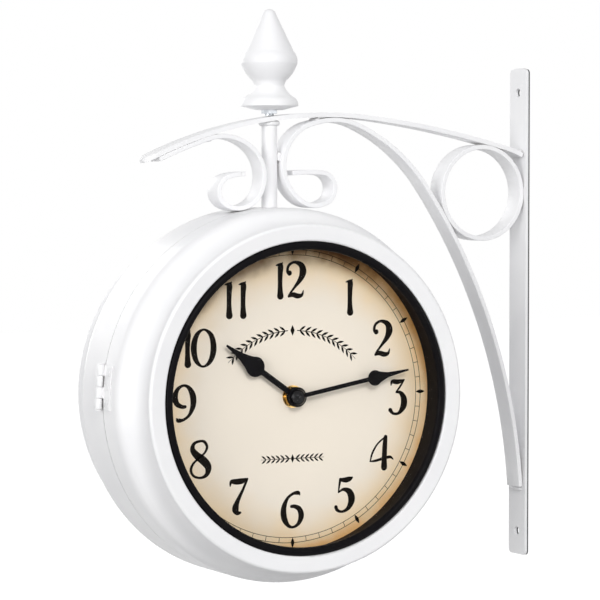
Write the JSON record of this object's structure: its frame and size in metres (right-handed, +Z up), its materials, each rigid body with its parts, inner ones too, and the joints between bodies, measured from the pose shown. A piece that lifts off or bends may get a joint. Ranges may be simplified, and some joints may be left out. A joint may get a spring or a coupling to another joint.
{
  "type": "double sided station clock",
  "caption": "Round double sided wall clock on a scrolled flat-bar bracket with a turned finial; the front half of its case opens on a hinge.",
  "frame": {"origin": "centre of the wall plate's back face, midway between its two screw holes", "axes": "+X into the wall, +Z up, the front dial faces -Y"},
  "size_m": [0.323, 0.1164, 0.3753],
  "materials": {
    "white_paint": "satin",
    "black_paint": "satin",
    "dial_print": "matte",
    "lens_glass": "polished",
    "zinc_steel": "satin",
    "brass": "satin",
    "black_plastic": "matte",
    "black_rubber": "matte",
    "battery_wrap": "gloss"
  },
  "bodies": {
    "bracket_and_rear_case": {"wall_plate": "white_paint", "arm_strap": "white_paint", "brace_strap": "white_paint", "left_scroll": "white_paint", "bracket_ring": "white_paint", "hanger_rod": "white_paint", "rod_nut_and_washer": "zinc_steel", "finial": "white_paint", "finial_stud": "zinc_steel", "weld_beads": "white_paint", "rear_case": "white_paint", "case_gasket": "black_rubber", "hinge_rear_leaf": "white_paint", "hinge_rear_rivets": "white_paint", "hinge_pin": "white_paint", "catch_magnet": "black_plastic", "rear_liner": "black_paint", "rear_lens": "lens_glass", "rear_lens_spring_ring": "black_paint", "rear_dial": "dial_print", "rear_dial_support": "zinc_steel", "rear_dial_rivets": "zinc_steel", "rear_movement_housing": "black_plastic", "rear_movement_cover": "black_plastic", "rear_battery": "battery_wrap", "rear_battery_contacts": "zinc_steel", "rear_bushing": "brass", "rear_rubber_washer": "black_rubber", "rear_brass_washer": "brass", "rear_hexagon_nut": "brass"},
    "front_door": {"front_case": "white_paint", "hinge_front_leaf": "white_paint", "hinge_front_rivets": "white_paint", "catch_strike": "zinc_steel", "front_liner": "black_paint", "front_lens": "lens_glass", "front_lens_spring_ring": "black_paint", "front_dial": "dial_print", "front_dial_support": "zinc_steel", "front_dial_rivets": "zinc_steel", "front_movement_housing": "black_plastic", "front_movement_cover": "black_plastic", "front_battery": "battery_wrap", "front_battery_contacts": "zinc_steel", "front_bushing": "brass", "front_rubber_washer": "black_rubber", "front_brass_washer": "brass", "front_hexagon_nut": "brass"},
    "front_minute": {"front_minute_shaft": "zinc_steel", "front_minute_hand": "black_paint", "front_cap_nut": "black_paint"},
    "front_hour": {"front_hour_shaft": "black_plastic", "front_hour_hand": "black_paint"},
    "front_knob": {"front_setting_knob": "black_plastic"},
    "rear_minute": {"rear_minute_shaft": "zinc_steel", "rear_minute_hand": "black_paint", "rear_cap_nut": "black_paint"},
    "rear_hour": {"rear_hour_shaft": "black_plastic", "rear_hour_hand": "black_paint"},
    "rear_knob": {"rear_setting_knob": "black_plastic"}
  },
  "joints": [
    {"name": "front_door_hinge", "type": "hinge", "parent": "bracket_and_rear_case", "child": "front_door", "pos_m": [-0.31979, -0.007, -0.04027], "axis": [-0.0698, 0, -0.9976], "range_deg": [0, 110]},
    {"name": "front_minute_spin", "type": "hinge", "parent": "front_door", "child": "front_minute", "pos_m": [-0.195, 0, -0.049], "axis": [0, 1, 0], "continuous": true},
    {"name": "front_hour_spin", "type": "hinge", "parent": "front_door", "child": "front_hour", "pos_m": [-0.195, 0, -0.049], "axis": [0, 1, 0], "continuous": true},
    {"name": "front_knob_spin", "type": "hinge", "parent": "front_door", "child": "front_knob", "pos_m": [-0.183, 0, -0.04], "axis": [0, 1, 0], "continuous": true},
    {"name": "rear_minute_spin", "type": "hinge", "parent": "bracket_and_rear_case", "child": "rear_minute", "pos_m": [-0.195, 0, -0.049], "axis": [0, -1, 0], "continuous": true},
    {"name": "rear_hour_spin", "type": "hinge", "parent": "bracket_and_rear_case", "child": "rear_hour", "pos_m": [-0.195, 0, -0.049], "axis": [0, -1, 0], "continuous": true},
    {"name": "rear_knob_spin", "type": "hinge", "parent": "bracket_and_rear_case", "child": "rear_knob", "pos_m": [-0.207, 0, -0.04], "axis": [0, -1, 0], "continuous": true}
  ],
  "couplings": [
    {"joint": "front_hour_spin", "follows": "front_minute_spin", "ratio": 0.083333},
    {"joint": "front_knob_spin", "follows": "front_minute_spin", "ratio": -0.33333},
    {"joint": "rear_hour_spin", "follows": "rear_minute_spin", "ratio": 0.083333},
    {"joint": "rear_knob_spin", "follows": "rear_minute_spin", "ratio": -0.33333}
  ]
}
